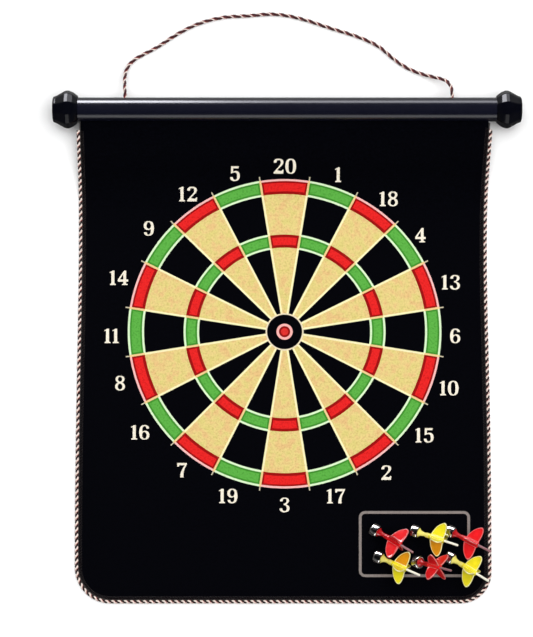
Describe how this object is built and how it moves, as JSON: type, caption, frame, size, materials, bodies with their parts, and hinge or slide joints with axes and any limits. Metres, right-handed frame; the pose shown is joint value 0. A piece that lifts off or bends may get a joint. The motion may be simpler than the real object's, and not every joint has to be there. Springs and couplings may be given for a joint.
{
  "type": "magnetic dartboard",
  "caption": "Roll-up magnetic dartboard lying on its back: edge-stitched cloth target on a hanger tube with end knobs and cord, with magnet-tipped darts in its printed tray.",
  "frame": {"origin": "on the table under the middle of the board, measured without the hanging cord", "axes": "+Z out of the printed face, +Y from the target to the hanger tube, +X along the tube to the right"},
  "size_m": [0.411, 0.5212, 0.0386],
  "materials": {
    "tube_black": "glossy black plastic tube with a soft mottled sheen",
    "knob_black": "glossy black moulded plastic, flat facets",
    "bead_plastic": "black extruded strip",
    "front_print": "black flocked cloth with the target printed on it",
    "core_rubber": "iron-filled flexible sheet",
    "back_cloth": "plain black backing cloth",
    "overlock_thread": "black and dark red overlock thread with pale loops",
    "cord_twist": "two-ply twisted cord, black with red and cream",
    "nickel": "bright nickel plate",
    "magnet_ferrite": "dark ground ferrite",
    "red_plastic": "glossy red moulded plastic",
    "yellow_plastic": "glossy yellow moulded plastic",
    "pin_plastic": "pale plastic pin"
  },
  "bodies": {
    "board": {"hanger_tube": "tube_black", "left_knob": "knob_black", "right_knob": "knob_black", "retaining_bead": "bead_plastic", "front_fabric": "front_print", "iron_core_sheet": "core_rubber", "back_fabric": "back_cloth", "edge_overlock": "overlock_thread", "hanging_cord": "cord_twist", "left_knot": "cord_twist", "right_knot": "cord_twist"},
    "dart_1": {"dart_1_tip_cup": "nickel", "dart_1_magnet": "magnet_ferrite", "dart_1_barrel": "red_plastic", "dart_1_flight": "red_plastic", "dart_1_tail_pin": "pin_plastic"},
    "dart_2": {"dart_2_tip_cup": "nickel", "dart_2_magnet": "magnet_ferrite", "dart_2_barrel": "yellow_plastic", "dart_2_flight": "yellow_plastic", "dart_2_tail_pin": "pin_plastic"},
    "dart_3": {"dart_3_tip_cup": "nickel", "dart_3_magnet": "magnet_ferrite", "dart_3_barrel": "red_plastic", "dart_3_flight": "red_plastic", "dart_3_tail_pin": "pin_plastic"},
    "dart_4": {"dart_4_tip_cup": "nickel", "dart_4_magnet": "magnet_ferrite", "dart_4_barrel": "yellow_plastic", "dart_4_flight": "yellow_plastic", "dart_4_tail_pin": "pin_plastic"},
    "dart_5": {"dart_5_tip_cup": "nickel", "dart_5_magnet": "magnet_ferrite", "dart_5_barrel": "red_plastic", "dart_5_flight": "red_plastic", "dart_5_tail_pin": "pin_plastic"},
    "dart_6": {"dart_6_tip_cup": "nickel", "dart_6_magnet": "magnet_ferrite", "dart_6_barrel": "yellow_plastic", "dart_6_flight": "yellow_plastic", "dart_6_tail_pin": "pin_plastic"}
  },
  "joints": [
    {"name": "dart_1_lift", "type": "slide", "parent": "board", "child": "dart_1", "axis": [0, 0, 1], "range_m": [0, 0.06]},
    {"name": "dart_2_lift", "type": "slide", "parent": "board", "child": "dart_2", "axis": [0, 0, 1], "range_m": [0, 0.06]},
    {"name": "dart_3_lift", "type": "slide", "parent": "board", "child": "dart_3", "axis": [0.3714, 0, 0.9285], "range_m": [0, 0.06]},
    {"name": "dart_4_lift", "type": "slide", "parent": "board", "child": "dart_4", "axis": [0, 0, 1], "range_m": [0, 0.06]},
    {"name": "dart_5_lift", "type": "slide", "parent": "board", "child": "dart_5", "axis": [0, 0, 1], "range_m": [0, 0.06]},
    {"name": "dart_6_lift", "type": "slide", "parent": "board", "child": "dart_6", "axis": [0.3651, -0.1826, 0.9129], "range_m": [0, 0.06]}
  ]
}
